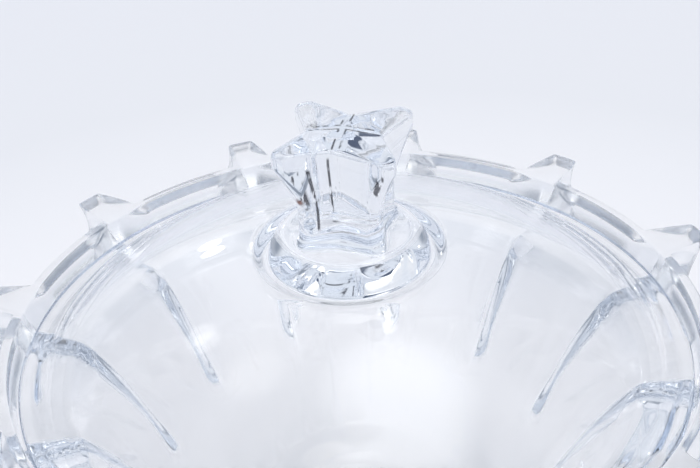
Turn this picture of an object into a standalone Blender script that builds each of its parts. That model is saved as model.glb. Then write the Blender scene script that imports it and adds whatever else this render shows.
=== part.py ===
"""Covered candy dish of clear pressed glass, in three pieces.

A fluted bowl ends in a crown of pointed teeth, a domed lid drops into a recess inside that
crown, and a four-pointed star knob stands on the lid's cushion-shaped collar.
Metres, +Z up. The origin is the middle of the foot, on the surface that the dish stands on.
"""
from math import acos, asin, atan2, cos, hypot, pi, radians, sin, sqrt, tau

import bmesh
import bpy
from mathutils import Matrix, Vector

MM = 0.001

# Bowl
FOOT_RADIUS = 28.0 * MM       # outside of the foot ring
FOOT_WIDTH = 4.5 * MM         # flat land that the bowl stands on
FOOT_HEIGHT = 3.0 * MM        # hollow under the base
FOOT_DRAFT = 1.0 * MM         # the hollow's side leans in this much
FOOT_FLARE = 1.5 * MM         # cove where the foot ring spreads into the wall
BASE_THICKNESS = 6.0 * MM     # glass between the hollow and the bowl's floor
FLOOR_RADIUS = 18.0 * MM      # flat part of the floor inside
FLOOR_ROLL = 26.0 * MM        # how far the floor runs on before it turns up into the wall
WAIST_RADIUS = 39.0 * MM      # the wall leans in towards this radius
WAIST_HEIGHT = 38.0 * MM      # at this height over the floor, and flares out above it
BOWL_DEPTH = 62.0 * MM        # floor up to the ledge that carries the lid
BOWL_WALL = 3.0 * MM          # wall where the flutes are deepest
LEDGE_WIDTH = 12.5 * MM
LEDGE_ROOT = 8.0 * MM         # below the ledge, where the outside starts to spread out under it
ROOT_LEAN = 3.0 * MM          # how far the spread keeps to the lean of the wall
ROOT_TURN = 1.5 * MM          # how far it takes to turn upright
RIM_RISE = 9.0 * MM           # ledge up to the top of the rim
RIM_BAND = 5.3 * MM           # sloping outside of the rim between two teeth
RIM_FLARE = 2.5 * MM          # the foot of that slope stands out this much further than its top
RIM_WIDTH = 3.2 * MM          # top of the rim between two teeth, outside the recess
RIM_DRAFT = 0.6 * MM          # the recess opens this much towards its mouth
RIM_ROUND = 0.6 * MM          # worn edges along the top of the rim

# Teeth of the crown, and the rib between two flutes that runs down from each of them
TOOTH_COUNT = 12
TOOTH_REACH = 11.8 * MM       # how far a tooth stands out from the rim
TOOTH_HEIGHT = 17.0 * MM      # how far down the wall its buttress reaches
TOOTH_TIP_WIDTH = 5.8 * MM
TOOTH_TOP_WIDTH = 12.0 * MM   # its flat top, where it meets the rim
TOOTH_BASE_WIDTH = 20.6 * MM  # its root, at the foot of the rim's slope
TOOTH_SWEEP = 1.3             # power of the curve by which a rib swells into its tooth
RIB_REACH = 5.0 * MM          # how far a rib stands out from the wall
RIB_START = 33.0 * MM         # height at which it starts
RIB_FADE = 14.0 * MM          # height over which it grows out of the wall
RIB_HEAD_WIDTH = 26.0 * MM    # just below its tooth
RIB_WAIST_WIDTH = 12.0 * MM   # where it is narrowest
RIB_WAIST_HEIGHT = 15.0 * MM  # over its start
RIB_FOOT_WIDTH = 20.0 * MM    # where it dies out
RIB_EDGE = 0.6 * MM           # the sharp edge of a rib, between two flutes
RIB_SWEEP = 1.6               # power of the curve by which a rib spreads from its waist
FLUTE_CURVE = 2.6             # power of the curve of a rib's hollow flank
RIB_LIMIT = 0.95              # largest share of the wall that the ribs may take

# Lid
LID_RADIUS = 75.0 * MM
LID_CLEARANCE = 0.8 * MM      # all round, between the lid's edge and the recess
LID_EDGE = 3.5 * MM           # thickness of the flat edge that lies on the ledge
LID_FLANGE = 3.2 * MM         # width of that edge outside the dome
LID_ROUND = 0.9 * MM          # rounding of the edge, above and below
LID_WALL = 5.0 * MM
DOME_RISE = 27.2 * MM         # flat edge up to the top of the dome
SEAT_GAP = 0.3 * MM           # between pieces that rest on each other

# Collar on the lid, which the knob stands on
PAD_MARGIN = 0.5 * MM         # flat land left around the knob's foot
CUSHION_ROUND = 4.7 * MM      # convex roll from the pad out to the groove
CUSHION_HEIGHT = 5.0 * MM     # pad above the dome at the edge of the collar
GROOVE_WIDTH = 3.8 * MM
GROOVE_DEPTH = 1.1 * MM

# Star knob
STAR_POINTS = 4
STAR_ANGLE = radians(42.7)    # how the loose lid lies, from +X to the first point
KNOB_HEIGHT = 23.3 * MM       # foot up to the tips of the star
PLINTH_HEIGHT = 2.0 * MM      # low star-shaped step at the foot
PLINTH_SLOPE = 0.6 * MM       # its sloping shoulder
PLINTH_TIP_RADIUS = 12.3 * MM
PLINTH_NOTCH_RADIUS = 7.9 * MM
STEM_TIP_RADIUS = 11.6 * MM
STEM_NOTCH_RADIUS = 7.0 * MM
STEM_HEIGHT = 9.0 * MM        # upright part, before the points flare out
STAR_TIP_RADIUS = 16.8 * MM
STAR_NOTCH_RADIUS = 7.9 * MM
TIP_ROUND = 2.4 * MM          # radius of a blunt point, seen from above
FLARE_SWEEP = 1.3             # power of the curve by which the points flare out
LIP_HEIGHT = 2.2 * MM         # upright band around the top of the star
STAR_EDGE = 1.1 * MM          # rounding of the top edge
STAR_PEAK = 0.9 * MM          # the middle of the star stands higher than the tips

# Facets
FOOT_ROWS = 3
WALL_ROWS = 10
INSIDE_ROWS = 8
FLANK_STEPS = 3
DOME_ROWS = 8
FLARE_ROWS = 5
ROUND_ROWS = 4
ROOT_ROWS = 6
TIP_FACETS = 5
EDGE_ROWS = 2
CURVE_STEP = 0.001            # share of a curve over which its slope is taken
HALVINGS = 40                 # steps by which a place on the wall is found
MERGE_DISTANCE = 0.01 * MM
LID_SEGMENTS = 64
SMOOTH_ANGLE = radians(32)

# Levels and radii that follow from the sizes above
FLOOR_Z = FOOT_HEIGHT + BASE_THICKNESS
LEDGE_Z = FLOOR_Z + BOWL_DEPTH
RIM_Z = LEDGE_Z + RIM_RISE
LID_Z = LEDGE_Z + SEAT_GAP
RECESS_RADIUS = LID_RADIUS + LID_CLEARANCE
LEDGE_RADIUS = RECESS_RADIUS - LEDGE_WIDTH
RIM_RADIUS = RECESS_RADIUS + RIM_WIDTH
TIP_RADIUS = RIM_RADIUS + TOOTH_REACH
BAND_Z = RIM_Z - RIM_ROUND - RIM_BAND
HEAD_Z = RIM_Z - TOOTH_HEIGHT
WAIST_Z = RIB_START + RIB_WAIST_HEIGHT
PAD_RADIUS = PLINTH_TIP_RADIUS + PAD_MARGIN
CUSHION_RADIUS = PAD_RADIUS + CUSHION_ROUND
COLLAR_RADIUS = CUSHION_RADIUS + GROOVE_WIDTH


def clear_scene():
    for item in list(bpy.data.objects):
        bpy.data.objects.remove(item, do_unlink=True)


def clear_glass(name, colour):
    """Colourless pressed glass with a faint cool tint."""
    material = bpy.data.materials.new(name)
    material.use_nodes = True
    shader = material.node_tree.nodes["Principled BSDF"]
    shader.inputs["Base Color"].default_value = (*colour, 1.0)
    shader.inputs["Roughness"].default_value = 0.04
    shader.inputs["Metallic"].default_value = 0.0
    shader.inputs["IOR"].default_value = 1.51
    shader.inputs["Transmission Weight"].default_value = 1.0
    return material


def add_piece(name, bm, material, parent=None):
    """Turn a closed bmesh into a smooth-shaded object under its parent."""
    bmesh.ops.recalc_face_normals(bm, faces=bm.faces)
    mesh = bpy.data.meshes.new(name)
    bm.to_mesh(mesh)
    bm.free()
    mesh.shade_smooth()
    mesh.set_sharp_from_angle(angle=SMOOTH_ANGLE)
    mesh.materials.append(material)
    piece = bpy.data.objects.new(name, mesh)
    piece.parent = parent
    bpy.context.collection.objects.link(piece)
    return piece


def add_pivot(name, height, parent=None):
    """An empty on the axis of the dish, which the moving pieces hang on."""
    pivot = bpy.data.objects.new(name, None)
    pivot.empty_display_size = LID_EDGE
    pivot.location = (0.0, 0.0, height)
    pivot.parent = parent
    bpy.context.collection.objects.link(pivot)
    return pivot


def loft(bm, rings):
    """Skin closed rings of equally many points with quads, and close both ends with a face."""
    loops = [[bm.verts.new(point) for point in ring] for ring in rings]
    for lower, upper in zip(loops, loops[1:]):
        for side in range(len(lower)):
            bm.faces.new((lower[side - 1], lower[side], upper[side], upper[side - 1]))
    first = bm.faces.new(loops[0])
    last = bm.faces.new(loops[-1])
    return first, last


def blend(start, end, share):
    return start + (end - start) * share


def hold(share):
    """A share kept between 0 and 1."""
    return min(1.0, max(0.0, share))


def ease(share):
    """Smooth step: level at both ends."""
    return share * share * (3.0 - 2.0 * share)


def curve_point(handles, share):
    """Point of a Bezier curve of any degree, found by halving in again between its handles."""
    while len(handles) > 1:
        handles = [a.lerp(b, share) for a, b in zip(handles, handles[1:])]
    return handles[0]


def inner_wall(share):
    """Inside of the bowl, from the floor's edge (0) to the ledge (1): rolls up, then flares out."""
    handles = [Vector((FLOOR_RADIUS, FLOOR_Z)), Vector((FLOOR_RADIUS + FLOOR_ROLL, FLOOR_Z)),
               Vector((WAIST_RADIUS, FLOOR_Z + WAIST_HEIGHT)), Vector((LEDGE_RADIUS, LEDGE_Z))]
    return curve_point(handles, share)


def outer_wall(share):
    """Outside between the ribs: the inside moved out by the thickness of the wall."""
    ahead = inner_wall(share + CURVE_STEP) - inner_wall(share - CURVE_STEP)
    normal = Vector((ahead.y, -ahead.x)).normalized()
    return inner_wall(share) + normal * BOWL_WALL


def wall_share(axis, place):
    """Where the outside of the wall reaches a radius (axis 0) or a height (axis 1), by halving."""
    low, high = 0.0, 1.0
    for _ in range(HALVINGS):
        middle = (low + high) / 2
        if outer_wall(middle)[axis] < place:
            low = middle
        else:
            high = middle
    return low


def ledge_root(neck, share):
    """Outside under the ledge: from the neck it spreads out, then turns up to the rim's slope."""
    below = outer_wall(neck)
    along = (below - outer_wall(neck - CURVE_STEP)).normalized()
    top = Vector((RIM_RADIUS + RIM_FLARE, BAND_Z))
    return curve_point([below, below + along * ROOT_LEAN, top - Vector((0.0, ROOT_TURN)), top], share)


def crown_ring(radius, z, reach=0.0, back_width=0.0, base_width=0.0, hollow=0.0):
    """A ring of the bowl: a circle, with a lobe per tooth if that has a reach.

    The lobe's flanks are straight if hollow is 0, and curved in like a flute's side if it is 1.
    """
    pitch = tau / TOOTH_COUNT
    base = min(asin(base_width / 2 / radius), pitch / 2 * RIB_LIMIT) if reach else pitch / 4
    back = asin(back_width / 2 / (radius + reach)) if reach else pitch / 8
    half = [(pitch / 2, 0.0), ((base + pitch / 2) / 2, 0.0)]
    for step in range(FLANK_STEPS + 1):
        climb = step / FLANK_STEPS
        half.append((blend(base, back, climb), reach * blend(climb, climb ** FLUTE_CURVE, hollow)))
    lobe = [(-offset, out) for offset, out in half] + [(0.0, reach)] + half[:0:-1]
    ring = []
    for tooth in range(TOOTH_COUNT):
        for offset, out in lobe:
            turn = tooth * pitch + offset
            ring.append(((radius + out) * cos(turn), (radius + out) * sin(turn), z))
    return ring


def rib_width(z):
    """Width of a rib: narrow at its waist, and spread out below it and towards its tooth."""
    end_z, end_width = (RIB_START, RIB_FOOT_WIDTH) if z < WAIST_Z else (HEAD_Z, RIB_HEAD_WIDTH)
    spread = hold((z - WAIST_Z) / (end_z - WAIST_Z)) ** RIB_SWEEP
    return blend(RIB_WAIST_WIDTH, end_width, spread)


def ribbed_ring(place):
    """A ring of the outer wall: the rib grows out of it, and swells into its tooth at the rim."""
    radius, z = place
    growth = ease(hold((z - RIB_START) / RIB_FADE))
    swell = hold((z - HEAD_Z) / (TOOTH_HEIGHT - RIM_ROUND)) ** TOOTH_SWEEP
    root_width = blend(rib_width(z), TOOTH_BASE_WIDTH, swell)
    return crown_ring(radius, z, blend(RIB_REACH * growth, TIP_RADIUS - radius, swell),
                      blend(RIB_EDGE, TOOTH_TIP_WIDTH, swell),
                      blend(root_width, TOOTH_TOP_WIDTH, hold((z - BAND_Z) / RIM_BAND)), 1.0 - swell)


def make_bowl():
    start = wall_share(0, FOOT_RADIUS + FOOT_FLARE)
    neck = wall_share(1, LEDGE_Z - LEDGE_ROOT)
    foot_top = outer_wall(start)

    rings = [crown_ring(FOOT_RADIUS - FOOT_WIDTH - FOOT_DRAFT, FOOT_HEIGHT),
             crown_ring(FOOT_RADIUS - FOOT_WIDTH, 0.0),
             crown_ring(FOOT_RADIUS, 0.0)]
    for row in range(1, FOOT_ROWS + 1):
        turn = pi / 2 * row / FOOT_ROWS
        rings.append(crown_ring(foot_top.x - FOOT_FLARE * cos(turn), foot_top.y * sin(turn)))
    for row in range(1, WALL_ROWS):
        rings.append(ribbed_ring(outer_wall(blend(start, neck, row / WALL_ROWS))))
    for row in range(ROOT_ROWS + 1):
        rings.append(ribbed_ring(ledge_root(neck, row / ROOT_ROWS)))
    rings.append(ribbed_ring((RIM_RADIUS, RIM_Z - RIM_ROUND)))

    mouth = RECESS_RADIUS + RIM_DRAFT
    rings += [crown_ring(RIM_RADIUS - RIM_ROUND, RIM_Z, TOOTH_REACH, TOOTH_TIP_WIDTH, TOOTH_TOP_WIDTH),
              crown_ring(mouth + RIM_ROUND, RIM_Z),
              crown_ring(mouth, RIM_Z - RIM_ROUND),
              crown_ring(RECESS_RADIUS, LEDGE_Z)]
    for row in range(INSIDE_ROWS, -1, -1):
        wall = inner_wall(row / INSIDE_ROWS)
        rings.append(crown_ring(wall.x, wall.y))

    bm = bmesh.new()
    loft(bm, rings)
    return add_piece("bowl", bm, clear_glass("bowl_glass", (0.86, 0.91, 0.95)))


def arc(centre, radius, start, end, steps):
    """Points of an arc about a centre, both ends included."""
    turns = [blend(start, end, step / steps) for step in range(steps + 1)]
    return [(centre[0] + radius * cos(turn), centre[1] + radius * sin(turn)) for turn in turns]


def lid_profile():
    """Outline of the lid in radius and height above its seat, from the pad out and back under."""
    sphere = (DOME_RISE ** 2 + (LID_RADIUS - LID_FLANGE) ** 2) / (2 * DOME_RISE)
    centre = LID_EDGE + DOME_RISE - sphere
    collar_z = centre + sqrt(sphere ** 2 - COLLAR_RADIUS ** 2)
    pad_z = collar_z + CUSHION_HEIGHT
    groove_z = collar_z - GROOVE_DEPTH
    roll = pad_z - groove_z

    points = [(0.0, pad_z), (PAD_RADIUS, pad_z)]
    for step in range(1, ROUND_ROWS + 1):
        turn = pi / 2 * step / ROUND_ROWS
        points.append((PAD_RADIUS + CUSHION_ROUND * sin(turn), groove_z + roll * cos(turn)))
    points.append((CUSHION_RADIUS + GROOVE_WIDTH / 2, groove_z))

    collar_turn = atan2(collar_z - centre, COLLAR_RADIUS)
    flange_turn = atan2(LID_EDGE - centre, LID_RADIUS - LID_FLANGE)
    points += arc((0.0, centre), sphere, collar_turn, flange_turn, DOME_ROWS)

    rounding = LID_RADIUS - LID_ROUND
    points += arc((rounding, LID_EDGE - LID_ROUND), LID_ROUND, pi / 2, 0.0, EDGE_ROWS)
    points += arc((rounding, LID_ROUND), LID_ROUND, 0.0, -pi / 2, EDGE_ROWS)

    hollow = sphere - LID_WALL
    mouth_turn = atan2(-centre, sqrt(hollow ** 2 - centre ** 2))
    points += arc((0.0, centre), hollow, mouth_turn, pi / 2, DOME_ROWS)
    return points, pad_z


def make_lid(parent):
    profile, pad_z = lid_profile()
    bm = bmesh.new()
    verts = [bm.verts.new((radius, 0.0, z)) for radius, z in profile]
    edges = [bm.edges.new(pair) for pair in zip(verts, verts[1:])]
    bmesh.ops.spin(bm, geom=verts + edges, cent=(0.0, 0.0, 0.0), axis=(0.0, 0.0, 1.0),
                   angle=tau, steps=LID_SEGMENTS, use_merge=True)
    bmesh.ops.remove_doubles(bm, verts=bm.verts, dist=MERGE_DISTANCE)
    lid = add_piece("lid", bm, clear_glass("lid_glass", (0.88, 0.93, 0.97)), parent)
    return lid, pad_z


def star_ring(tip_radius, notch_radius, z, inset=0.0):
    """A star outline with blunt points: each point is an arc whose sides run to the notches."""
    half = pi / STAR_POINTS
    blunt = TIP_ROUND - inset
    tip_radius -= inset
    notch_radius -= inset * notch_radius / tip_radius
    centre = tip_radius - blunt
    reach = hypot(notch_radius * cos(half) - centre, notch_radius * sin(half))
    leaning = atan2(notch_radius * sin(half), notch_radius * cos(half) - centre)
    spread = leaning - acos(blunt / reach)
    ring = []
    for point in range(STAR_POINTS):
        turn = STAR_ANGLE + point * 2 * half
        outline = [(notch_radius * cos(half), -notch_radius * sin(half))]
        outline += arc((centre, 0.0), blunt, -spread, spread, TIP_FACETS)
        for x, y in outline:
            ring.append(Matrix.Rotation(turn, 3, "Z") @ Vector((x, y, z)))
    return ring


def make_star_knob(parent):
    lip_z = KNOB_HEIGHT - STAR_EDGE - LIP_HEIGHT
    rings = [star_ring(PLINTH_TIP_RADIUS, PLINTH_NOTCH_RADIUS, 0.0),
             star_ring(PLINTH_TIP_RADIUS, PLINTH_NOTCH_RADIUS, PLINTH_HEIGHT - PLINTH_SLOPE),
             star_ring(STEM_TIP_RADIUS, STEM_NOTCH_RADIUS, PLINTH_HEIGHT)]
    for row in range(FLARE_ROWS + 1):
        share = row / FLARE_ROWS
        rings.append(star_ring(blend(STEM_TIP_RADIUS, STAR_TIP_RADIUS, share ** FLARE_SWEEP),
                               blend(STEM_NOTCH_RADIUS, STAR_NOTCH_RADIUS, share),
                               blend(STEM_HEIGHT, lip_z, share)))
    rings += [star_ring(STAR_TIP_RADIUS, STAR_NOTCH_RADIUS, KNOB_HEIGHT - STAR_EDGE),
              star_ring(STAR_TIP_RADIUS, STAR_NOTCH_RADIUS, KNOB_HEIGHT, STAR_EDGE)]

    bm = bmesh.new()
    top = loft(bm, rings)[1]
    peak = bmesh.ops.poke(bm, faces=[top])["verts"][0]
    peak.co = (0.0, 0.0, KNOB_HEIGHT + STAR_PEAK)
    return add_piece("star_knob", bm, clear_glass("knob_glass", (0.84, 0.90, 0.96)), parent)


def main():
    clear_scene()
    make_bowl()
    seat = add_pivot("lid_lift", LID_Z)
    pad_z = make_lid(seat)[1]
    make_star_knob(add_pivot("knob_seat", pad_z + SEAT_GAP, seat))


main()
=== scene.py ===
# %% [markdown]
# # A covered candy bowl in pressed glass
#
# The object is two pressings of clear glass: a bowl with a crown of twelve teeth, and a domed lid with a
# four-pointed star for a knob. Clear glass has no colour of its own to paint. What the eye reads is how its
# two faces bend the room behind it, so the shapes, the thickness of the wall and the light do the work.
#
# The packed model is loaded first. Everything that follows is placed from its boxes.

# %% Load the packed model
import math

import bpy
import numpy as np
from mathutils import Matrix, Vector


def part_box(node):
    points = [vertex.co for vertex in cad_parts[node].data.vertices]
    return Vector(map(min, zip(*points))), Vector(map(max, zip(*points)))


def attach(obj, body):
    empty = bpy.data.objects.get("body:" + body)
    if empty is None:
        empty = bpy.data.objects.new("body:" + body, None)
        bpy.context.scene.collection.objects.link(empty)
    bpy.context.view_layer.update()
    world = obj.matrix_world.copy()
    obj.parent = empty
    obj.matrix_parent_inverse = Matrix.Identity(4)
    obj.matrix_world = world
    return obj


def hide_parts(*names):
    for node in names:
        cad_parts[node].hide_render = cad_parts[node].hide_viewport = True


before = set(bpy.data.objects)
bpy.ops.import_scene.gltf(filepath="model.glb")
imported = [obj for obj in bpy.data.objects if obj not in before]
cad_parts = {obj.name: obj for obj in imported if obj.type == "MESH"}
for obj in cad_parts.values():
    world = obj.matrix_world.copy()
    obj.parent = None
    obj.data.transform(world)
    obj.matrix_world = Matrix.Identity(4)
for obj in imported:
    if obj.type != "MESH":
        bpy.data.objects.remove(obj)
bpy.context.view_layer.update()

MM = 0.001
bowl_high = np.array(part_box("bowl")[1]) / MM
lid_low, lid_high = (np.array(corner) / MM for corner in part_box("lid"))
knob_high = np.array(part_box("star_knob")[1]) / MM

# %% [markdown]
# ## The sizes that both pieces share
#
# All shapes below are worked out in millimetres. The rim, the crown, the lid and the knob take their
# places from the boxes of the packed parts, so a new size there moves the glass here too.

# %% Shared sizes in millimetres
RIM_Z = bowl_high[2]
TIP_RADIUS = bowl_high[0]
LID_RADIUS = lid_high[0]
LID_Z = lid_low[2]
PAD_Z = lid_high[2]
KNOB_TOP = knob_high[2]

SEAT_GAP = 0.3
LID_CLEARANCE = 0.8
RIM_WIDTH = 3.2
LEDGE_Z = LID_Z - SEAT_GAP
RECESS_RADIUS = LID_RADIUS + LID_CLEARANCE
RIM_RADIUS = RECESS_RADIUS + RIM_WIDTH
TOOTH_REACH = TIP_RADIUS - RIM_RADIUS
print(f"rim at {RIM_Z:.1f}, ledge at {LEDGE_Z:.1f}, teeth reach {TOOTH_REACH:.1f} mm past the rim")

# %% [markdown]
# ## A closed skin from rings
#
# Both pieces are turned forms, so each is a stack of rings round one axis, from a point on the axis at one
# end to a point at the other. Blender's Screw modifier turns a profile too, but it can't push teeth, ribs
# or a star out of it. Here the azimuth, radius and height of every point come as arrays, one row for each
# ring, and the skin only joins neighbours: a quad between rings and a fan of triangles at each end.


# %% Join a grid of rings into a closed mesh
def skin(name, azimuth, radius, height):
    """A closed mesh: x = r cos a, y = r sin a, z = h, with a fan to the axis at the first and last ring."""
    rings, columns = radius.shape
    sides = np.stack([radius * np.cos(azimuth), radius * np.sin(azimuth), height], axis=-1).reshape(-1, 3)
    ends = np.array([[0.0, 0.0, height[0].mean()], [0.0, 0.0, height[-1].mean()]])
    here = np.arange(columns)
    beside = np.roll(here, -1)
    rows = np.arange(rings - 1)[:, None] * columns
    quads = np.stack([rows + here, rows + beside, rows + columns + beside, rows + columns + here], axis=-1)
    first, last = rings * columns, rings * columns + 1
    top = (rings - 1) * columns
    fan_in = np.stack([np.full(columns, first), beside, here], axis=-1)
    fan_out = np.stack([np.full(columns, last), top + here, top + beside], axis=-1)

    mesh = bpy.data.meshes.new(name)
    mesh.from_pydata((np.vstack([sides, ends]) * MM).tolist(), [],
                     quads.reshape(-1, 4).tolist() + fan_in.tolist() + fan_out.tolist())
    mesh.shade_smooth()
    piece = bpy.data.objects.new(name, mesh)
    bpy.context.collection.objects.link(piece)
    return piece


print("skin is ready: it joins rings of points into one closed mesh")


# %% Helpers for profiles
def ease(share):
    """A smooth step from 0 to 1: 3 s^2 - 2 s^3, held at its ends."""
    share = np.clip(share, 0, 1)
    return share * share * (3 - 2 * share)


def blend(low, high, share):
    """The value a share of the way from low to high."""
    return low + (high - low) * share


def arc(centre, radii, start, end, count):
    """Points (r, z) of an arc about a centre, both ends included, from one angle to another."""
    turn = np.radians(np.linspace(start, end, count))
    return np.stack([centre[0] + radii * np.cos(turn), centre[1] + radii * np.sin(turn)], axis=-1)


def line(start, end, count):
    """Points (r, z) along a straight line, both ends included."""
    return np.linspace(start, end, count)


def curve(handles, share):
    """Points (r, z) of a cubic Bezier curve: handles weighted by (1-t)^3, 3t(1-t)^2, 3t^2(1-t) and t^3."""
    t = np.asarray(share)[:, None]
    low, lean, turn, high = (np.asarray(handle, float) for handle in handles)
    return low * (1 - t) ** 3 + 3 * lean * t * (1 - t) ** 2 + 3 * turn * t * t * (1 - t) + high * t ** 3


print("a quarter of the way, ease gives", ease(0.25), "and blend from 2 to 4 gives", blend(2, 4, 0.25))

# %% [markdown]
# ## The bowl's wall
#
# The inside of a pressed bowl is smooth, because the plunger that shapes it has to pull straight out: it is
# one curve from the floor to the ledge. The outside is that curve pushed out by the wall's thickness, so
# the glass bends light evenly all the way up.

# %% The inner wall, and the outer wall beside it
FLOOR_Z, FLOOR_RADIUS, FLOOR_ROLL = 9.0, 18.0, 26.0
WAIST_RADIUS, WAIST_HEIGHT = 39.0, 38.0
LEDGE_WIDTH = 12.5
BOWL_WALL = 3.0
LEDGE_RADIUS = RECESS_RADIUS - LEDGE_WIDTH
WALL_HANDLES = [(FLOOR_RADIUS, FLOOR_Z), (FLOOR_RADIUS + FLOOR_ROLL, FLOOR_Z),
                (WAIST_RADIUS, FLOOR_Z + WAIST_HEIGHT), (LEDGE_RADIUS, LEDGE_Z)]
WALL_SAMPLES = 2001


def outer_wall(share):
    """The inner wall's point plus its outward normal times the thickness of the wall."""
    along = np.linspace(0, 1, WALL_SAMPLES)
    inner = curve(WALL_HANDLES, along)
    run = np.gradient(inner, axis=0)
    outward = np.stack([run[:, 1], -run[:, 0]], axis=-1) / np.linalg.norm(run, axis=1)[:, None]
    outer = inner + outward * BOWL_WALL
    return np.stack([np.interp(share, along, outer[:, axis]) for axis in (0, 1)], axis=-1)


def wall_share(axis, place):
    """The share of the outer wall at which its radius (axis 0) or height (axis 1) is a given one."""
    along = np.linspace(0, 1, WALL_SAMPLES)
    return float(np.interp(place, outer_wall(along)[:, axis], along))


print("outer wall from", np.round(outer_wall([0.0])[0], 1), "to", np.round(outer_wall([1.0])[0], 1))

# %% [markdown]
# ## Teeth and ribs as one lobe
#
# A tooth at the rim and the rib under it are the same lobe at different heights. Up in the crown it is a
# trapezoid with rounded corners; down the wall it is the sharp edge that two hollow flutes leave between
# them. It could be a separate block joined to a plain bowl, but then a seam would show through the glass.
# Instead each ring has a reach, a width across the lobe's back, a width across its base and a share of
# hollowness, and the columns of the grid follow the lobe's corners up the wall, so its edges stay crisp.

# %% Columns that follow the lobes
TEETH = 12
PITCH = 2 * np.pi / TEETH
BACK_END, FLANK_END = 0.3, 0.75
BACK_COLUMNS, FLANK_COLUMNS, LAND_COLUMNS = 8, 15, 7
LOBE_ROUND = 0.2
FLUTE_CURVE = 2.6
PLAIN_BACK, PLAIN_BASE = PITCH / 8, PITCH / 4

half_roles = np.concatenate([np.linspace(0, BACK_END, BACK_COLUMNS, endpoint=False),
                             np.linspace(BACK_END, FLANK_END, FLANK_COLUMNS, endpoint=False),
                             np.linspace(FLANK_END, 1, LAND_COLUMNS, endpoint=False)])
tooth_roles = np.concatenate([half_roles, -np.append(half_roles, 1)[:0:-1]])
roles = np.tile(tooth_roles, TEETH)
tooth_azimuth = (np.arange(TEETH).repeat(len(tooth_roles)) + (roles < 0)) * PITCH


def rounded_ramp(climb):
    """A ramp from 0 to 1 whose two ends are parabolas, so that it starts and stops level."""
    climb = np.clip(climb, 0, 1)
    low = climb ** 2 / (2 * LOBE_ROUND)
    high = 1 - LOBE_ROUND - (1 - climb) ** 2 / (2 * LOBE_ROUND)
    ramp = np.where(climb < LOBE_ROUND, low, np.where(climb > 1 - LOBE_ROUND, high, climb - LOBE_ROUND / 2))
    return ramp / (1 - LOBE_ROUND)


def lobed_grid(rings):
    """Azimuth, radius and height of each point of rings (r, z, reach, back angle, base angle, hollow).

    A column's role, 0 at a lobe's middle and 1 half way to the next, gives its azimuth: even steps along
    the back, then the flank, then the land. Its radius is r + reach f, where f goes from the rounded ramp
    of the flank's climb to a power of that climb as the flank turns hollow.
    """
    radius, height, reach, back, base, hollow = (part[:, None] for part in rings.T)
    away = np.abs(roles)
    on_back = away / BACK_END * back
    on_flank = blend(back, base, (away - BACK_END) / (FLANK_END - BACK_END))
    on_land = blend(base, PITCH / 2, (away - FLANK_END) / (1 - FLANK_END))
    off = np.where(away < BACK_END, on_back, np.where(away < FLANK_END, on_flank, on_land))
    climb = np.clip((base - off) / (base - back), 0, 1)
    out = reach * blend(rounded_ramp(climb), climb ** FLUTE_CURVE, hollow)
    return tooth_azimuth + np.sign(roles) * off, radius + out, height + 0 * out


def plain(profile):
    """Rings that are plain circles, from points (r, z)."""
    count = len(profile)
    reach = hollow = np.zeros(count)
    return np.column_stack([profile, reach, np.full(count, PLAIN_BACK), np.full(count, PLAIN_BASE), hollow])


print(len(roles), "columns,", len(tooth_roles), "to a tooth")

# %% [markdown]
# ## How the rib becomes a tooth
#
# Each rib grows out of the plain wall, draws in to a narrow waist, and spreads again under its tooth. On
# both sides of it lie flutes, long shallow hollows. Their sharp edge is what throws the dark drop with a
# tail that shows through the lid; a rib with a flat back only draws two thin lines. The widths are powers
# of the height above and below the waist, which keeps both ends tangent to it. In the crown the lobe gets
# narrower again towards its top, so a tooth's flanks slope and catch the light like facets.

# %% The rib's and the tooth's widths by height
FOOT_RADIUS, FOOT_FLARE = 28.0, 1.5
RIB_REACH, RIB_START, RIB_FADE = 5.0, 33.0, 14.0
RIB_HEAD_WIDTH, RIB_WAIST_WIDTH, RIB_FOOT_WIDTH = 26.0, 12.0, 20.0
RIB_WAIST_HEIGHT, RIB_SWEEP, RIB_EDGE, RIB_LIMIT = 15.0, 1.6, 0.6, 0.9
TOOTH_HEIGHT, TOOTH_TIP_WIDTH, TOOTH_BASE_WIDTH, TOOTH_SWEEP = 17.0, 5.8, 20.6, 1.3
TOOTH_TOP_WIDTH = 12.0
RIM_ROUND, RIM_BAND, RIM_FLARE = 0.6, 5.3, 2.5

foot_share = wall_share(0, FOOT_RADIUS + FOOT_FLARE)
foot_top = outer_wall([foot_share])[0]
head_z = RIM_Z - TOOTH_HEIGHT
waist_z = RIB_START + RIB_WAIST_HEIGHT
band_z = RIM_Z - RIM_ROUND - RIM_BAND


def rib_width(z):
    """Waist width plus (distance from the waist over its run) to a power, times the spread at that end."""
    below = np.clip((waist_z - z) / RIB_WAIST_HEIGHT, 0, 1) ** RIB_SWEEP
    above = np.clip((z - waist_z) / (head_z - waist_z), 0, 1) ** RIB_SWEEP
    return (RIB_WAIST_WIDTH + (RIB_FOOT_WIDTH - RIB_WAIST_WIDTH) * below
            + (RIB_HEAD_WIDTH - RIB_WAIST_WIDTH) * above)


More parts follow.
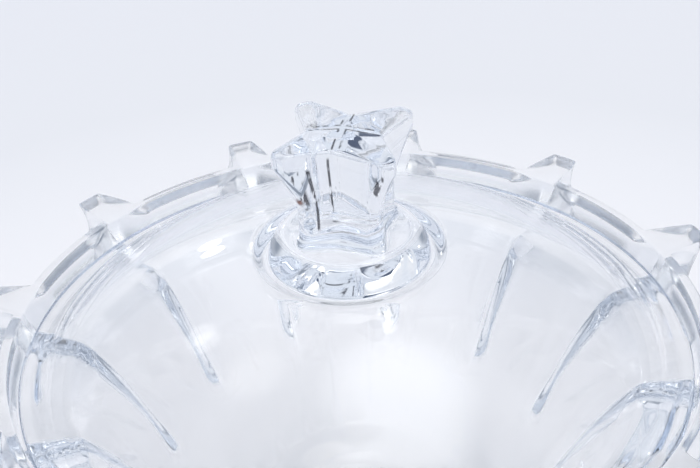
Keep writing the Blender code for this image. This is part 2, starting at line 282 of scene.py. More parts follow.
def ribbed(profile):
    """Rings with lobes: the rib's reach and widths, blended into the tooth's by a power of the height above
    its head; the base then narrows evenly up the band to the width of the tooth's flat top."""
    radius, z = profile.T
    swell = np.clip((z - head_z) / (TOOTH_HEIGHT - RIM_ROUND), 0, 1) ** TOOTH_SWEEP
    reach = blend(RIB_REACH * ease((z - RIB_START) / RIB_FADE), TIP_RADIUS - radius, swell)
    back = blend(RIB_EDGE, TOOTH_TIP_WIDTH, swell)
    root = blend(rib_width(z), TOOTH_BASE_WIDTH, swell)
    base = blend(root, TOOTH_TOP_WIDTH, np.clip((z - band_z) / RIM_BAND, 0, 1))
    base_angle = np.minimum(np.arcsin(base / 2 / radius), RIB_LIMIT * PITCH / 2)
    return np.column_stack([profile, reach, np.arcsin(back / 2 / (radius + reach)), base_angle, 1 - swell])


print(f"rib from z {RIB_START:.1f} to {head_z:.1f}, {rib_width(waist_z):.1f} mm wide at its waist")

# %% [markdown]
# ## The bowl
#
# The profile runs from the middle of the underside, round the foot ring it stands on, up the ribbed wall,
# over the toothed rim and down into the recess, the ledge and the smooth inside. Every edge is rounded as
# fire polishing leaves it. The rounds are small arcs in the same profile, because a Bevel modifier would
# also cut into the teeth's soft corners.

# %% Rings of the foot
FOOT_WIDTH, FOOT_HEIGHT, FOOT_DRAFT, FOOT_ROUND = 4.5, 3.0, 1.0, 0.6
EDGE_STEPS, FLAT_STEPS = 5, 4


def foot_rings():
    """Underside, the foot's inner draft, its flat land with rounded edges, and the flare up to the wall."""
    hollow = FOOT_RADIUS - FOOT_WIDTH - FOOT_DRAFT
    inner = FOOT_RADIUS - FOOT_WIDTH + FOOT_ROUND
    outer = FOOT_RADIUS - FOOT_ROUND
    turn = np.linspace(0, np.pi / 2, FLAT_STEPS + 2)[1:-1]
    flare = np.stack([foot_top[0] - FOOT_FLARE * np.cos(turn),
                      blend(FOOT_ROUND, foot_top[1], np.sin(turn))], axis=-1)
    return plain(np.vstack([line((hollow / FLAT_STEPS, FOOT_HEIGHT), (hollow, FOOT_HEIGHT), FLAT_STEPS),
                            arc((inner, FOOT_ROUND), FOOT_ROUND, 180, 270, EDGE_STEPS),
                            arc((outer, FOOT_ROUND), FOOT_ROUND, 270, 360, EDGE_STEPS),
                            flare]))


print(len(foot_rings()), "rings of a foot", 2 * FOOT_RADIUS, "mm across")

# %% Rings of the outside, from the foot to the crown
LEDGE_ROOT, ROOT_LEAN, ROOT_TURN = 8.0, 3.0, 1.5
WALL_STEPS, ROOT_STEPS = 30, 18


def outside_rings():
    """The ribbed wall to the neck, the root that turns out under the ledge, and the sloping rim band."""
    neck_share = wall_share(1, LEDGE_Z - LEDGE_ROOT)
    neck_run = np.diff(outer_wall([neck_share - 1 / WALL_SAMPLES, neck_share]), axis=0)[0]
    neck = outer_wall([neck_share])[0]
    top = np.array([RIM_RADIUS + RIM_FLARE, band_z])
    root = curve([neck, neck + neck_run / np.linalg.norm(neck_run) * ROOT_LEAN, top - (0, ROOT_TURN), top],
                 np.linspace(0, 1, ROOT_STEPS))
    band = line(top, (RIM_RADIUS, RIM_Z - RIM_ROUND), FLAT_STEPS)
    return ribbed(np.vstack([outer_wall(np.linspace(foot_share, neck_share, WALL_STEPS, endpoint=False)),
                             root, band[1:]]))


print(len(outside_rings()), "rings up the outside")

# %% Rings of the rim and the inside
RIM_DRAFT, CORNER_ROUND, LEDGE_ROUND = 0.6, 0.6, 1.2
LIP_SHARE = 0.985


def rim_rings():
    """The tooth's rounded top edge, and its flat top drawn in to the mouth of the recess."""
    edge = arc((RIM_RADIUS - RIM_ROUND, RIM_Z - RIM_ROUND), RIM_ROUND, 0, 90, EDGE_STEPS)[1:]
    mouth = RECESS_RADIUS + RIM_DRAFT + RIM_ROUND
    across = np.linspace(0, 1, FLAT_STEPS + 1)[1:]
    flat = np.stack([blend(edge[-1, 0], mouth, across), np.full(len(across), RIM_Z)], axis=-1)
    reach = np.concatenate([np.full(len(edge), TOOTH_REACH), TOOTH_REACH * (1 - across)])
    back = np.arcsin(TOOTH_TIP_WIDTH / 2 / (RIM_RADIUS + TOOTH_REACH))
    base = np.arcsin(TOOTH_TOP_WIDTH / 2 / RIM_RADIUS)
    even = np.ones(len(reach))
    return np.column_stack([np.vstack([edge, flat]), reach, back * even, base * even, 0 * even])


def inside_rings():
    """The recess the lid drops into, its ledge with a rounded lip, the inner wall and the floor."""
    mouth = RECESS_RADIUS + RIM_DRAFT
    lip = curve(WALL_HANDLES, [LIP_SHARE])[0]
    wall = curve(WALL_HANDLES, np.linspace(LIP_SHARE, 0, WALL_STEPS))[1:]
    return plain(np.vstack([
        arc((mouth + RIM_ROUND, RIM_Z - RIM_ROUND), RIM_ROUND, 90, 180, EDGE_STEPS)[1:],
        arc((RECESS_RADIUS - CORNER_ROUND, LEDGE_Z + CORNER_ROUND), CORNER_ROUND, 0, -90, EDGE_STEPS),
        curve([(LEDGE_RADIUS + LEDGE_ROUND, LEDGE_Z), (LEDGE_RADIUS + LEDGE_ROUND / 3, LEDGE_Z),
               lip + (LEDGE_ROUND / 6, LEDGE_ROUND / 3), lip], np.linspace(0, 1, EDGE_STEPS + 2)),
        wall,
        line((FLOOR_RADIUS, FLOOR_Z), (FLOOR_RADIUS / FLAT_STEPS, FLOOR_Z), FLAT_STEPS)[1:]]))


print(len(rim_rings()), "rings over the rim,", len(inside_rings()), "down the inside")

# %% The bowl as one skin
bowl_rings = np.vstack([foot_rings(), outside_rings(), rim_rings(), inside_rings()])
bowl = skin("toothed_bowl", *lobed_grid(bowl_rings))
print(len(bowl_rings), "rings,", len(bowl.data.polygons), "faces, mm:", np.round(bowl.dimensions / MM, 1))

# %% [markdown]
# ## The star knob's outline
#
# Seen from above, the knob is a star with four blunt points. In polar form its outline is two stretches: an
# arc round each point and a straight side down to the notch. A blunt notch is made by easing the angle near
# it, which fills the corner as a mould does. A bevelled four-pointed prism would come close, but the points
# flare out as the knob rises, so the outline has to change from ring to ring.

# %% Polar outline of the star
STAR_POINTS = 4
STAR_ANGLE = math.radians(42.7)
STAR_PITCH = 2 * np.pi / STAR_POINTS
TIP_ROUND, NOTCH_FILL = 2.4, math.radians(5)
KNOB_COLUMNS, TIP_CROWDING = 600, 0.6

point_turn = np.arange(KNOB_COLUMNS) / KNOB_COLUMNS * STAR_POINTS
point_turn = point_turn - np.round(point_turn)
crowded = point_turn - TIP_CROWDING * np.sin(2 * np.pi * point_turn) / (2 * np.pi)
from_point = np.abs(crowded) * STAR_PITCH
knob_azimuth = (STAR_ANGLE + STAR_PITCH * np.round(np.arange(KNOB_COLUMNS) / KNOB_COLUMNS * STAR_POINTS)
                + STAR_PITCH * crowded)


def star_outline(tip, notch):
    """Polar radius of a star for columns of tip and notch radii: an arc on each point, then a flat side.

    The arc is c cos a + sqrt(p^2 - (c sin a)^2) about a centre c = tip - p; the side is the line from the
    arc's tangent point to the notch, with the angle from the notch eased so that the corner is filled.
    """
    half = STAR_PITCH / 2
    turn = half - np.sqrt((half - from_point) ** 2 + NOTCH_FILL ** 2)
    centre = tip - TIP_ROUND
    notch_x, notch_y = notch * np.cos(half), notch * np.sin(half)
    reach = np.hypot(notch_x - centre, notch_y)
    spread = np.arctan2(notch_y, notch_x - centre) - np.arccos(TIP_ROUND / reach)
    touch_x, touch_y = centre + TIP_ROUND * np.cos(spread), TIP_ROUND * np.sin(spread)
    run_x, run_y = notch_x - touch_x, notch_y - touch_y
    point = centre * np.cos(turn) + np.sqrt(np.maximum(TIP_ROUND ** 2 - (centre * np.sin(turn)) ** 2, 0))
    side = (touch_x * run_y - touch_y * run_x) / (np.cos(turn) * run_y - np.sin(turn) * run_x)
    return np.where(turn < np.arctan2(touch_y, touch_x), point, side)


closest = np.degrees(np.ptp(from_point[:2]))
print(KNOB_COLUMNS, f"columns, {closest:.2f} degrees apart at the points")

# %% [markdown]
# ## The lid
#
# The lid is a shallow dome, part of a sphere, on a flat flange, and hollow under it by the same wall. At
# the top a groove sets off a soft roll, the cushion, which carries the knob. The real knob is fused to the
# cushion, so light runs from one into the other with no gap. Two meshes would show a mirror between them,
# so the lid and the knob are one skin here: circles for the lid, stars for the knob.

# %% The lid's circles, from the middle of the hollow to the pad
LID_EDGE, LID_FLANGE, LID_ROUND, LID_WALL, DOME_RISE = 3.5, 3.2, 0.9, 5.0, 27.2
PAD_RADIUS, CUSHION_ROUND = 12.8, 4.7
GROOVE_WIDTH, GROOVE_DEPTH, FLANGE_FILLET = 3.8, 1.1, 1.2
DOME_STEPS, ROLL_STEPS = 34, 12

dome_edge = LID_RADIUS - LID_FLANGE
dome_sphere = (DOME_RISE ** 2 + dome_edge ** 2) / (2 * DOME_RISE)
dome_centre = np.array([0.0, LID_Z + LID_EDGE + DOME_RISE - dome_sphere])
cushion_radius = PAD_RADIUS + CUSHION_ROUND
collar_radius = cushion_radius + GROOVE_WIDTH


def dome_point(sphere, height):
    """Angle above the horizon at which a sphere about the dome's centre reaches a height."""
    return math.degrees(math.asin((height - dome_centre[1]) / sphere))


def lid_circles():
    """Hollow, seat, rounded edge, flange with a fillet into the dome, dome, groove, cushion and pad."""
    hollow = dome_sphere - LID_WALL
    collar_angle = math.degrees(math.acos(collar_radius / dome_sphere))
    foot_angle = dome_point(dome_sphere, LID_Z + LID_EDGE) + math.degrees(FLANGE_FILLET / dome_sphere)
    dome = arc(dome_centre, dome_sphere, foot_angle, collar_angle, DOME_STEPS)
    corner = np.array([dome_edge, LID_Z + LID_EDGE])
    fillet = curve([corner + (FLANGE_FILLET, 0), corner + (FLANGE_FILLET / 3, 0),
                    blend(corner, dome[0], 1 / 3), dome[0]], np.linspace(0, 1, EDGE_STEPS))
    groove_z = dome[-1, 1] - GROOVE_DEPTH
    across = np.linspace(0, 1, ROLL_STEPS)
    groove = np.stack([blend(collar_radius, cushion_radius + GROOVE_WIDTH / 6, across),
                       blend(dome[-1, 1], groove_z, ease(across))], axis=-1)
    turn = np.linspace(np.pi / 2, 0, ROLL_STEPS)
    roll = np.stack([PAD_RADIUS + CUSHION_ROUND * np.sin(turn),
                     blend(groove_z, PAD_Z, np.cos(turn))], axis=-1)
    return np.vstack([
        arc(dome_centre, hollow, 90 - 90 / DOME_STEPS / 2, dome_point(hollow, LID_Z), DOME_STEPS),
        arc((LID_RADIUS - LID_ROUND, LID_Z + LID_ROUND), LID_ROUND, -90, 0, EDGE_STEPS),
        arc((LID_RADIUS - LID_ROUND, LID_Z + LID_EDGE - LID_ROUND), LID_ROUND, 0, 90, EDGE_STEPS),
        fillet[:-1], dome, groove[1:], roll])


circles = lid_circles()
print(len(circles), f"circles; dome of radius {dome_sphere:.1f}, collar {2 * collar_radius:.1f} mm across")

# %% [markdown]
# ## The knob's rings
#
# The knob stands on a low star-shaped plinth, which is the joint line seen at its foot. Above it the stem
# rises straight, then the points flare out to an upright lip, which gives a grip to lift by. The top is a
# low pyramid: its ridges run out to the points and its valleys run in from the notches.

# %% The star's sides
PLINTH_TIP, PLINTH_NOTCH, PLINTH_HEIGHT, PLINTH_SLOPE = 12.3, 7.9, 2.0, 0.6
STEM_TIP, STEM_NOTCH, STEM_HEIGHT = 11.6, 7.0, 9.0
STAR_TIP, STAR_NOTCH, FLARE_SWEEP = 16.8, 7.9, 1.3
LIP_HEIGHT, STAR_EDGE, STAR_PEAK = 2.2, 1.1, 0.9
PLINTH_STEPS, STEM_STEPS, FLARE_STEPS = 4, 6, 14

lip_z = KNOB_TOP - STAR_PEAK - STAR_EDGE
flare_z = PAD_Z + STEM_HEIGHT
flare_top = lip_z - LIP_HEIGHT


def knob_sides():
    """Tip radius, notch radius and height, ring by ring, up the plinth, the stem, the flare and the lip."""
    slope = ease(np.linspace(0, 1, PLINTH_STEPS))
    climb = np.linspace(0, 1, FLARE_STEPS)
    plinth_top = PAD_Z + PLINTH_HEIGHT
    ledges = np.column_stack([blend(PLINTH_TIP, STEM_TIP, slope), blend(PLINTH_NOTCH, STEM_NOTCH, slope),
                              np.linspace(plinth_top - PLINTH_SLOPE, plinth_top, PLINTH_STEPS)])
    stem = line((STEM_TIP, STEM_NOTCH, plinth_top), (STEM_TIP, STEM_NOTCH, flare_z), STEM_STEPS)
    flare = np.column_stack([blend(STEM_TIP, STAR_TIP, climb ** FLARE_SWEEP),
                             blend(STEM_NOTCH, STAR_NOTCH, climb), blend(flare_z, flare_top, climb)])
    lip = line((STAR_TIP, STAR_NOTCH, flare_top), (STAR_TIP, STAR_NOTCH, lip_z), PLINTH_STEPS)
    return np.vstack([ledges, stem[1:], flare[1:], lip[1:]])


print(f"stem {STEM_HEIGHT:.1f} mm high, points flare out by {STAR_TIP - STEM_TIP:.1f} mm")

# %% The star's grid, from the pad to its peak
FOOT_FILLET, PAD_STEPS, TOP_STEPS = 0.5, 4, 12


def knob_grid():
    """Radius and height of the pad round the star, its foot fillet, sides, edge and low pyramid."""
    foot = star_outline(PLINTH_TIP, PLINTH_NOTCH)
    across = np.linspace(0, 1, PAD_STEPS + 1)[1:, None]
    pad = blend(PAD_RADIUS, foot + FOOT_FILLET, across)
    turn = np.linspace(0, np.pi / 2, EDGE_STEPS)[1:, None]
    fillet = foot + FOOT_FILLET * (1 - np.sin(turn))
    tip, notch, side_z = (part[:, None] for part in knob_sides().T)
    sides = star_outline(tip, notch)
    edge = sides[-1] - STAR_EDGE * (1 - np.cos(turn))
    inward = np.linspace(1, 0, TOP_STEPS + 1)[1:-1, None]
    top = edge[-1] * inward
    radius = np.vstack([pad, fillet, sides, edge, top])
    height = np.vstack([PAD_Z + 0 * across, PAD_Z + FOOT_FILLET * (1 - np.cos(turn)), side_z,
                        lip_z + STAR_EDGE * np.sin(turn), KNOB_TOP - STAR_PEAK * inward])
    return radius, height + 0 * radius


knob_radius, knob_height = knob_grid()
print(len(knob_radius), f"rings of the star, up to {knob_height.max():.1f} mm")

# %% The lid and the knob as one skin
spread = np.zeros(KNOB_COLUMNS)
lid_radius = np.vstack([circles[:, :1] + spread, knob_radius])
lid_height = np.vstack([circles[:, 1:] + spread, knob_height])
lid = skin("lid_with_star_knob", knob_azimuth + 0 * lid_radius, lid_radius, lid_height)
print(len(lid_radius), "rings,", len(lid.data.polygons), "faces, mm:", np.round(lid.dimensions / MM, 1))

# %% [markdown]
# ## Shader maths as expressions
#
# A material is a small network of nodes. Linking them one by one hides the idea, so this class wraps a
# socket and lets sums on it be written as sums: each operator adds its Math node. Every other node comes
# from one method, which takes the node's type, then its settings, then the values or links of its sockets.


# %% A socket that does sums
class Wire:
    """An output socket of a node tree; sums on it add Math nodes, and add() puts in any other node."""

    def __init__(self, tree, socket=None):
        self.tree = tree
        self.socket = socket

    def add(self, kind, settings=None, sockets=None, output=0):
        """A node of one kind: its settings are set first, then each socket gets its value or link."""
        node = self.tree.nodes.new("ShaderNode" + kind)
        for name, value in (settings or {}).items():
            if name == "stops":
                self.set_stops(node.color_ramp.elements, value)
            else:
                setattr(node, name, value)
        for name, value in (sockets or {}).items():
            if isinstance(value, Wire):
                self.tree.links.new(value.socket, node.inputs[name])
            else:
                node.inputs[name].default_value = value
        return Wire(self.tree, node.outputs[output])

    @staticmethod
    def set_stops(elements, stops):
        """Places of a colour ramp and their colours."""
        while len(elements) < len(stops):
            elements.new(1.0)
        for element, (place, colour) in zip(elements, stops):
            element.position = place
            element.color = (*colour, 1.0)

    def sum(self, operation, first, second):
        """A Math node of one operation on two values."""
        return self.add("Math", {"operation": operation}, {0: first, 1: second})

    def __add__(self, other):
        return self.sum("ADD", self, other)

    __radd__ = __add__

    def __sub__(self, other):
        return self.sum("SUBTRACT", self, other)

    def __rsub__(self, other):
        return self.sum("SUBTRACT", other, self)

    def __mul__(self, other):
        return self.sum("MULTIPLY", self, other)

    __rmul__ = __mul__

    def step(self, low, high):
        """Eases from 0 to 1 as the value goes from low to high."""
        ends = {1: low, 2: high, 3: 0.0, 4: 1.0}
        return self.add("MapRange", {"interpolation_type": "SMOOTHSTEP"}, {0: self, **ends})


sums = [name for name in vars(Wire) if name.endswith(("add__", "sub__", "mul__"))]
print("sums that a wire can do:", sums)


# %% Colours and clouds
def mix_colours(share, first, second):
    """A colour a share of the way from the first to the second."""
    ends = {6: first, 7: second}
    return share.add("Mix", {"data_type": "RGBA"}, {0: share, **ends}, output=2)


def noise(place, scale, detail):
    """A cloud of values round a half, with a number of features to the metre and finer ones over them."""
    return place.add("TexNoise", {}, {"Vector": place, "Scale": scale, "Detail": detail}, output="Fac")


print("mix_colours and noise are ready")

# %% [markdown]
# ## Clear pressed glass
#
# Soda-lime glass is almost colourless, with a breath of blue where it is thick. Tinting its faces would
# darken every crossing alike, so the blue is an absorption in the glass itself: it grows with the depth
# that light has to cross. A pressed piece is never optically flat, because the mould's chill leaves slow
# waves. The tint and the waves are two noises on the object's own coordinates. The index, the transmission
# and the absorption are the same all over, so they are set on the shaders themselves, and so is the polish
# of a piece that has no dull places.

# %% Glass with waves and a depth of colour
GLASS_INDEX, POLISHED = 1.51, 0.0
WHITE_GLASS = (0.999, 1.0, 1.0, 1.0)
BLUE_GLASS = (0.994, 0.997, 1.0, 1.0)
TINT_SCALE, TINT_DETAIL, TINT_SPAN = 28.0, 2.0, (0.35, 0.7)
WAVE_SCALE, WAVE_DETAIL = 85.0, 1.5
DEEP_GLASS, DEEP_DENSITY = (0.50, 0.66, 0.88, 1.0), 4.0


def pressed_glass(name, wave_depth, dulling=None, marks=()):
    """Glass with slow waves of a given depth, roughness from a dulling mask, and marks (mask, colour)."""
    material = bpy.data.materials.new(name)
    material.use_nodes = True
    tree = material.node_tree
    shader = tree.nodes["Principled BSDF"]
    shader.inputs["IOR"].default_value = GLASS_INDEX
    shader.inputs["Transmission Weight"].default_value = 1.0
    shader.inputs["Roughness"].default_value = POLISHED

    place = Wire(tree).add("TexCoord", output="Object")
    tint = mix_colours(noise(place, TINT_SCALE, TINT_DETAIL).step(*TINT_SPAN), WHITE_GLASS, BLUE_GLASS)
    for mask, colour in marks:
        tint = mix_colours(mask(place), tint, colour)
    waves = noise(place, WAVE_SCALE, WAVE_DETAIL)
    normal = waves.add("Bump", {}, {"Height": waves, "Distance": wave_depth}, output="Normal")
    depth = place.add("VolumeAbsorption", {}, {"Color": DEEP_GLASS, "Density": DEEP_DENSITY})
    tree.links.new(tint.socket, shader.inputs["Base Color"])
    tree.links.new(normal.socket, shader.inputs["Normal"])
    tree.links.new(depth.socket, tree.nodes["Material Output"].inputs["Volume"])
    if dulling:
        tree.links.new(dulling(place).socket, shader.inputs["Roughness"])
    return material


print(f"glass of index {GLASS_INDEX}, absorbing {DEEP_DENSITY} to the metre")

# %% [markdown]
# ## Wear on the bowl
#
# The land of the foot is scratched by the table, and handling leaves a faint bloom that softens the gloss
# in patches. The crown stays as the mould left it, a little dull, because polishing it in a flame would
# melt its points: that dullness is also what turns the facets behind the lid into soft grey bands instead
# of hard black and white lines. A second material could carry the dull crown, but its border would be hard.
# So all three are masks on one roughness: the bloom is a noise, the crown goes by the distance from the
# axis, and the scratches go by the height.

# %% Masks of roughness, and the bowl's glass
BLOOM_ROUGH, BLOOM_SCALE, BLOOM_DETAIL, BLOOM_SPAN = 0.02, 75.0, 4.0, (0.5, 0.75)
CROWN_ROUGH = 0.2
SCUFF_ROUGH, SCUFF_FADE = 0.45, (0.0002, 0.0011)
SCRATCH_SCALE, SCRATCH_DETAIL, SCRATCH_SPAN = 900.0, 3.0, (0.4, 0.62)
BOWL_WAVES = 0.00004


def bowl_dulling(place):
    """Roughness: a patchy bloom, plus an even dullness on the crown, plus scratches low on the foot."""
    height = place.add("SeparateXYZ", {}, {0: place}, output="Z")
    level = place.add("VectorMath", {"operation": "MULTIPLY"}, {0: place, 1: (1.0, 1.0, 0.0)})
    out = level.add("VectorMath", {"operation": "LENGTH"}, {0: level}, output="Value")
    bloom = BLOOM_ROUGH * noise(place, BLOOM_SCALE, BLOOM_DETAIL).step(*BLOOM_SPAN)
    crown = CROWN_ROUGH * out.step(RECESS_RADIUS * MM, RIM_RADIUS * MM)
    scratches = noise(place, SCRATCH_SCALE, SCRATCH_DETAIL).step(*SCRATCH_SPAN)
    return bloom + crown + SCUFF_ROUGH * (1 - height.step(*SCUFF_FADE)) * scratches


bowl.data.materials.append(pressed_glass("bowl_glass", BOWL_WAVES, dulling=bowl_dulling))
print(f"crown dull from {RECESS_RADIUS:.1f} to {RIM_RADIUS:.1f} mm out, in", bowl.data.materials[0].name)

# %% [markdown]
# ## Dark lines and rust on the star
#
# The star's colour is darkened in pairs of thin broken lines beside the valleys of its top and in upright
# streaks down its sides, and it has one spot of rust on the edge of a point. Loose hairs of geometry could
# draw them, but here they are masks on its colour: a line is where the distance from it is small, and a
# noise stretched along it breaks it up. A streak is given by its azimuth in degrees, its half width in
# radians, two heights over the pad in millimetres, and the value of the noise above which it shows.

# %% Lines beside the valleys of the top
CREASE_PAIR, CREASE_WIDTH = 0.00075, (0.00010, 0.00035)
DASH_SCALE, DASH_DETAIL, DASH_SPAN = 420.0, 2.0, (0.44, 0.52)


def valley_lines(place, height):
    """Pairs of broken lines at a set distance from both lines of valleys across the star's top."""
    valley = STAR_ANGLE + STAR_PITCH / 2
    turned = place.add("VectorRotate", {"rotation_type": "Z_AXIS"}, {"Vector": place, "Angle": -valley})
    apart = turned.add("VectorMath", {"operation": "ABSOLUTE"}, {0: turned})
    across = [apart.add("SeparateXYZ", {}, {0: apart}, output=axis) for axis in "XY"]
    beside = apart.sum("MINIMUM", *across) - CREASE_PAIR
    crease = 1 - beside.sum("ABSOLUTE", beside, 0.0).step(*CREASE_WIDTH)
    dashes = noise(place, DASH_SCALE, DASH_DETAIL).step(*DASH_SPAN)
    return crease * dashes * height.step(lip_z + STAR_EDGE / 2, lip_z + STAR_EDGE)


print(f"lines {CREASE_PAIR / MM:.2f} mm from the valleys, above {lip_z + STAR_EDGE / 2:.1f} mm")

# %% Streaks down the sides
STREAKS = [(-119, 0.030, 5.0, 19.5, 0.47), (-101.5, 0.034, 9.0, 21.5, 0.36), (-54, 0.050, 15.5, 20.5, 0.47),
           (-127, 0.080, 10.0, 19.5, 0.54), (155, 0.040, 8.0, 18.0, 0.50)]
STREAK_STRETCH, STREAK_SCALE, STREAK_DETAIL = (1.0, 1.0, 0.16), 900.0, 2.0
STREAK_BREAK, STREAK_FADE = 0.04, 1.0


def side_streaks(place, height):
    """Streaks at set azimuths, each between two heights over the pad, broken up by an upright noise."""
    drawn = place.add("VectorMath", {"operation": "MULTIPLY"}, {0: place, 1: STREAK_STRETCH})
    broken = noise(drawn, STREAK_SCALE, STREAK_DETAIL)
    ahead, aside = (place.add("SeparateXYZ", {}, {0: place}, output=axis) for axis in "XY")
    azimuth = place.sum("ARCTAN2", aside, ahead)
    share = 0.0
    for turn, width, low, high, cover in STREAKS:
        off = azimuth - math.radians(turn)
        band = 1 - off.sum("ABSOLUTE", off, 0.0).step(width / 2, width)
        rise = height.step(PAD_Z + low - STREAK_FADE, PAD_Z + low)
        fall = 1 - height.step(PAD_Z + high, PAD_Z + high + STREAK_FADE)
        share = share + band * rise * fall * broken.step(cover - STREAK_BREAK, cover + STREAK_BREAK)
    return share


print(len(STREAKS), "streaks, the longest", max(high - low for _, _, low, high, _ in STREAKS), "mm")

# %% A spot of rust, and the lid's glass
# Near black for the star's dark lines and streaks, and red-brown for the spot of rust.
DARK_LINE_COLOUR, RUST = (0.02, 0.02, 0.024, 1.0), (0.07, 0.015, 0.008, 1.0)
RUST_RADIUS, RUST_TURN, RUST_HEIGHT, RUST_SIZE = 12.0, 2.06, 11.6, (0.0004, 0.0016)
LID_WAVES = 0.00001


def star_dark_lines(place):
    """The share of dark lines on the star: the lines of its top and the streaks of its sides."""
    height = place.add("SeparateXYZ", {}, {0: place}, output="Z") * (1 / MM)
    return valley_lines(place, height) + side_streaks(place, height)


def rust_spot(place):
    """A small spot round one place: a radius, a turn in steps between points, a height over the pad."""
    turn = STAR_ANGLE + RUST_TURN * STAR_PITCH
    centre = Vector((RUST_RADIUS * math.cos(turn), RUST_RADIUS * math.sin(turn), PAD_Z + RUST_HEIGHT)) * MM
    apart = place.add("VectorMath", {"operation": "DISTANCE"}, {0: place, 1: centre}, output="Value")
    return 1 - apart.step(*RUST_SIZE)


star_marks = [(star_dark_lines, DARK_LINE_COLOUR), (rust_spot, RUST)]
lid.data.materials.append(pressed_glass("lid_glass", LID_WAVES, marks=star_marks))
print(len(star_marks), "kinds of marks, in", lid.data.materials[0].name)

# %% [markdown]
# ## What moves, and what stands for what
#
# The bowl's skin rides on the bowl's body. The lid's skin rides on the lid's body, and stands for both the
# lid and its knob, so lifting the lid lifts the star with it.

# %% Ride the pieces on their bodies
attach(bowl, "bowl_body")
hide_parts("bowl")
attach(lid, "lid_body")
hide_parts("lid", "star_knob")
print("pieces riding:", bowl.name, "and", lid.name)

# %% [markdown]
# ## A pale floor
#
# The photograph's ground is a cool, even white that falls off a little towards its corners. A lamp's
# falloff could draw that, but it would light the glass unevenly too. So the floor's colour does it: a soft
# pool, lightest under the object, where the glass takes some of the light away.

# %% The floor
FLOOR_HALF = 3.0
POOL_STOPS = [(0.0, (0.95, 0.952, 0.98)), (0.11, (0.94, 0.942, 0.968)), (0.20, (0.835, 0.833, 0.855)),
              (0.35, (0.775, 0.779, 0.81)), (0.55, (0.69, 0.702, 0.737)), (1.0, (0.68, 0.692, 0.737))]
POOL_RADIUS = 0.5
PAPER_ROUGH, PAPER_GLOSS = 0.7, 0.2

floor_mesh = bpy.data.meshes.new("studio_floor")
floor_corners = np.array([(-1, -1, 0), (1, -1, 0), (1, 1, 0), (-1, 1, 0)]) * FLOOR_HALF
floor_mesh.from_pydata(floor_corners.tolist(), [], [(0, 1, 2, 3)])
floor = bpy.data.objects.new("studio_floor", floor_mesh)
bpy.context.collection.objects.link(floor)

paper = bpy.data.materials.new("floor_paper")
paper.use_nodes = True
paper_shader = paper.node_tree.nodes["Principled BSDF"]
paper_shader.inputs["Roughness"].default_value = PAPER_ROUGH
paper_shader.inputs["Specular IOR Level"].default_value = PAPER_GLOSS
spot = Wire(paper.node_tree).add("TexCoord", output="Object")
distance = spot.add("VectorMath", {"operation": "LENGTH"}, {0: spot}, output="Value")
pool = distance.add("ValToRGB", {"stops": POOL_STOPS}, {0: distance * (1 / POOL_RADIUS)})
paper.node_tree.links.new(pool.socket, paper_shader.inputs["Base Color"])
floor_mesh.materials.append(paper)
print("floor", FLOOR_HALF * 2, "m square")

# %% [markdown]
# ## The room's light
#
# Clear glass is lit by what surrounds it. A white room on all sides would leave it invisible, so a studio
# hangs dark cloths, called flags, beside the glass: edges that bend light from there turn grey and draw the
# form. Here two grey flags stand left and right, and a small dark blue one behind the camera shows in the
# star's top. Soft boxes in the ceiling leave the bright marks on the dome. Cards and lamps could be built,
# but they would stand in the way of other views, so all of it is one world shader of strength 1, and its
# horizon has the far floor's tone. A flag or a soft box is an aim, the cosines of its rim and its core, and
# a colour or a light. Light that has met the floor takes a plain pale room instead, so the soft boxes don't
# paint the ground with their images.

# %% The room's tones, its flags and its soft boxes
VIEW_TURN = math.radians(11.05)
PALE_ROOM, HORIZON = (0.87, 0.89, 0.94, 1.0), (0.77, 0.81, 0.885, 1.0)
HORIZON_FADE = (0.0, 0.12)
BELT_GREY = (0.80, 0.84, 0.91, 1.0)
BELT_LOW, BELT_HIGH = (0.08, 0.25), (0.70, 0.90)
FLAGS = [((-0.90, 0.44, 0.42), 0.80, 0.93, (0.25, 0.29, 0.36, 1.0)),
         ((0.83, 0.56, 0.42), 0.80, 0.93, (0.25, 0.29, 0.36, 1.0)),
         ((0.0, -1.0, 0.70), 0.94, 0.985, (0.03, 0.055, 0.12, 1.0))]
SOFT_BOXES = [((0.16, -0.24, 0.96), 0.935, 1.0, 3.0),
              ((0.17, 0.10, 0.98), 0.932, 1.0, 3.0),
              ((0.35, -0.45, 0.82), 0.955, 0.975, 1.6),
              ((-0.375, 0.27, 0.887), 0.990, 0.998, 1.5),
              ((-0.52, 0.51, 0.69), 0.9975, 0.9995, 2.4),
              ((-0.357, 0.893, 0.275), 0.9993, 0.9998, 8.0),
              ((0.115, 0.45, 0.885), 0.9985, 0.9995, 4.0)]
PLAIN_LIGHT = (1.15, 1.166, 1.205, 1.0)
print(len(FLAGS), "flags and", len(SOFT_BOXES), "soft boxes")

# %% The world shader
room = bpy.data.worlds.new("studio_room")
room.use_nodes = True
bpy.context.scene.world = room
direction = Wire(room.node_tree).add("TexCoord", output="Generated")
climb = direction.add("SeparateXYZ", {}, {0: direction}, output="Z")


def within(aim, rim, core):
    """A share that eases from 0 to 1 as the cosine of the angle to an aim goes from rim to core."""
    aim = Matrix.Rotation(VIEW_TURN, 3, "Z") @ Vector(aim).normalized()
    pair = {0: direction, 1: aim}
    return direction.add("VectorMath", {"operation": "DOT_PRODUCT"}, pair, output="Value").step(rim, core)


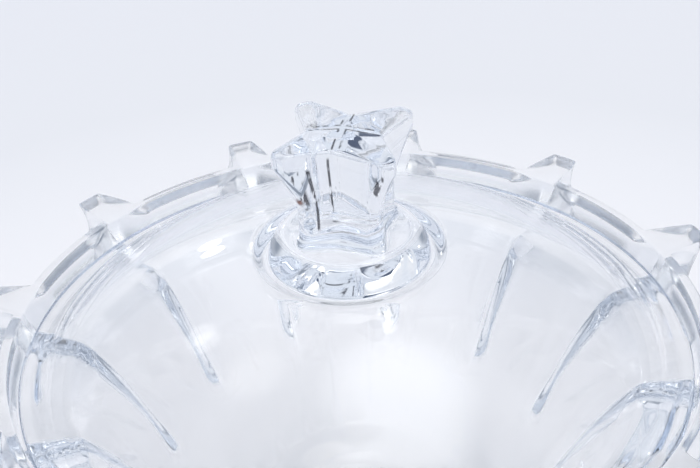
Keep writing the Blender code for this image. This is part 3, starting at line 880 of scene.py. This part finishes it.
belt = climb.step(*BELT_LOW) * (1 - climb.step(*BELT_HIGH))
seen_room = mix_colours(climb.step(*HORIZON_FADE), HORIZON, PALE_ROOM)
seen_room = mix_colours(belt, seen_room, BELT_GREY)
for aim, rim, core, grey in FLAGS:
    seen_room = mix_colours(within(aim, rim, core), seen_room, grey)
for aim, rim, core, light in SOFT_BOXES:
    seen_room = mix_colours(within(aim, rim, core), seen_room, (light, light, light, 1.0))
on_floor = direction.add("LightPath", output="Diffuse Depth")
room_light = mix_colours(on_floor.step(0.0, 1.0), seen_room, PLAIN_LIGHT)
background = room.node_tree.nodes["Background"]
room.node_tree.links.new(room_light.socket, background.inputs["Color"])
print(len(room.node_tree.nodes), "nodes in", room.name)

# %% [markdown]
# ## The camera
#
# The view was found by fitting the lid's edge, the teeth and the knob to their places in the photograph.
# The camera is close, so near parts look larger, and it leans a little to one side. Its place is given from
# the middle of the lid's edge, which is the roundest thing in the picture.

# %% The camera at the photograph's view
IMAGE_WIDTH = 700
FOCAL_PIXELS = 1250
SENSOR_WIDTH = 36.0
VIEW_DOWN, VIEW_LEAN = math.radians(33.18), math.radians(-2.92)
EYE = Vector((0.3, -224.1, 176.9)) * MM

eye_centre = Vector((0.0, 0.0, (LID_Z + LID_EDGE / 2) * MM))
look = Matrix.Rotation(math.pi / 2 - VIEW_DOWN, 3, "X")
lean = Matrix.Rotation(VIEW_LEAN, 3, "Z")
turn = Matrix.Rotation(VIEW_TURN, 3, "Z")
lens = bpy.data.cameras.new("photo_view")
lens.sensor_width = SENSOR_WIDTH
lens.lens = SENSOR_WIDTH * FOCAL_PIXELS / IMAGE_WIDTH
lens.clip_start = MM
camera = bpy.data.objects.new("photo_view", lens)
camera.matrix_world = Matrix.Translation(turn @ EYE + eye_centre) @ (turn @ look @ lean).to_4x4()
bpy.context.collection.objects.link(camera)
bpy.context.scene.camera = camera
print(f"lens {lens.lens:.1f} mm, eye {np.round(camera.matrix_world.translation / MM, 1)} mm")

# %% [markdown]
# ## Light that passes through many faces
#
# A ray through both walls of the bowl and the lid crosses eight faces, and more where it is caught inside
# the glass. The light needs enough bounces to come out again, or the thick parts turn black.

# %% Bounces and colours
LIGHT_BOUNCES = 48
scene = bpy.context.scene
scene.view_settings.view_transform = "Standard"
scene.cycles.max_bounces = LIGHT_BOUNCES
scene.cycles.transmission_bounces = LIGHT_BOUNCES
scene.cycles.glossy_bounces = LIGHT_BOUNCES // 2
print("bounces", scene.cycles.max_bounces)

# %% [markdown]
# The skin has to stay inside the packed model's box.
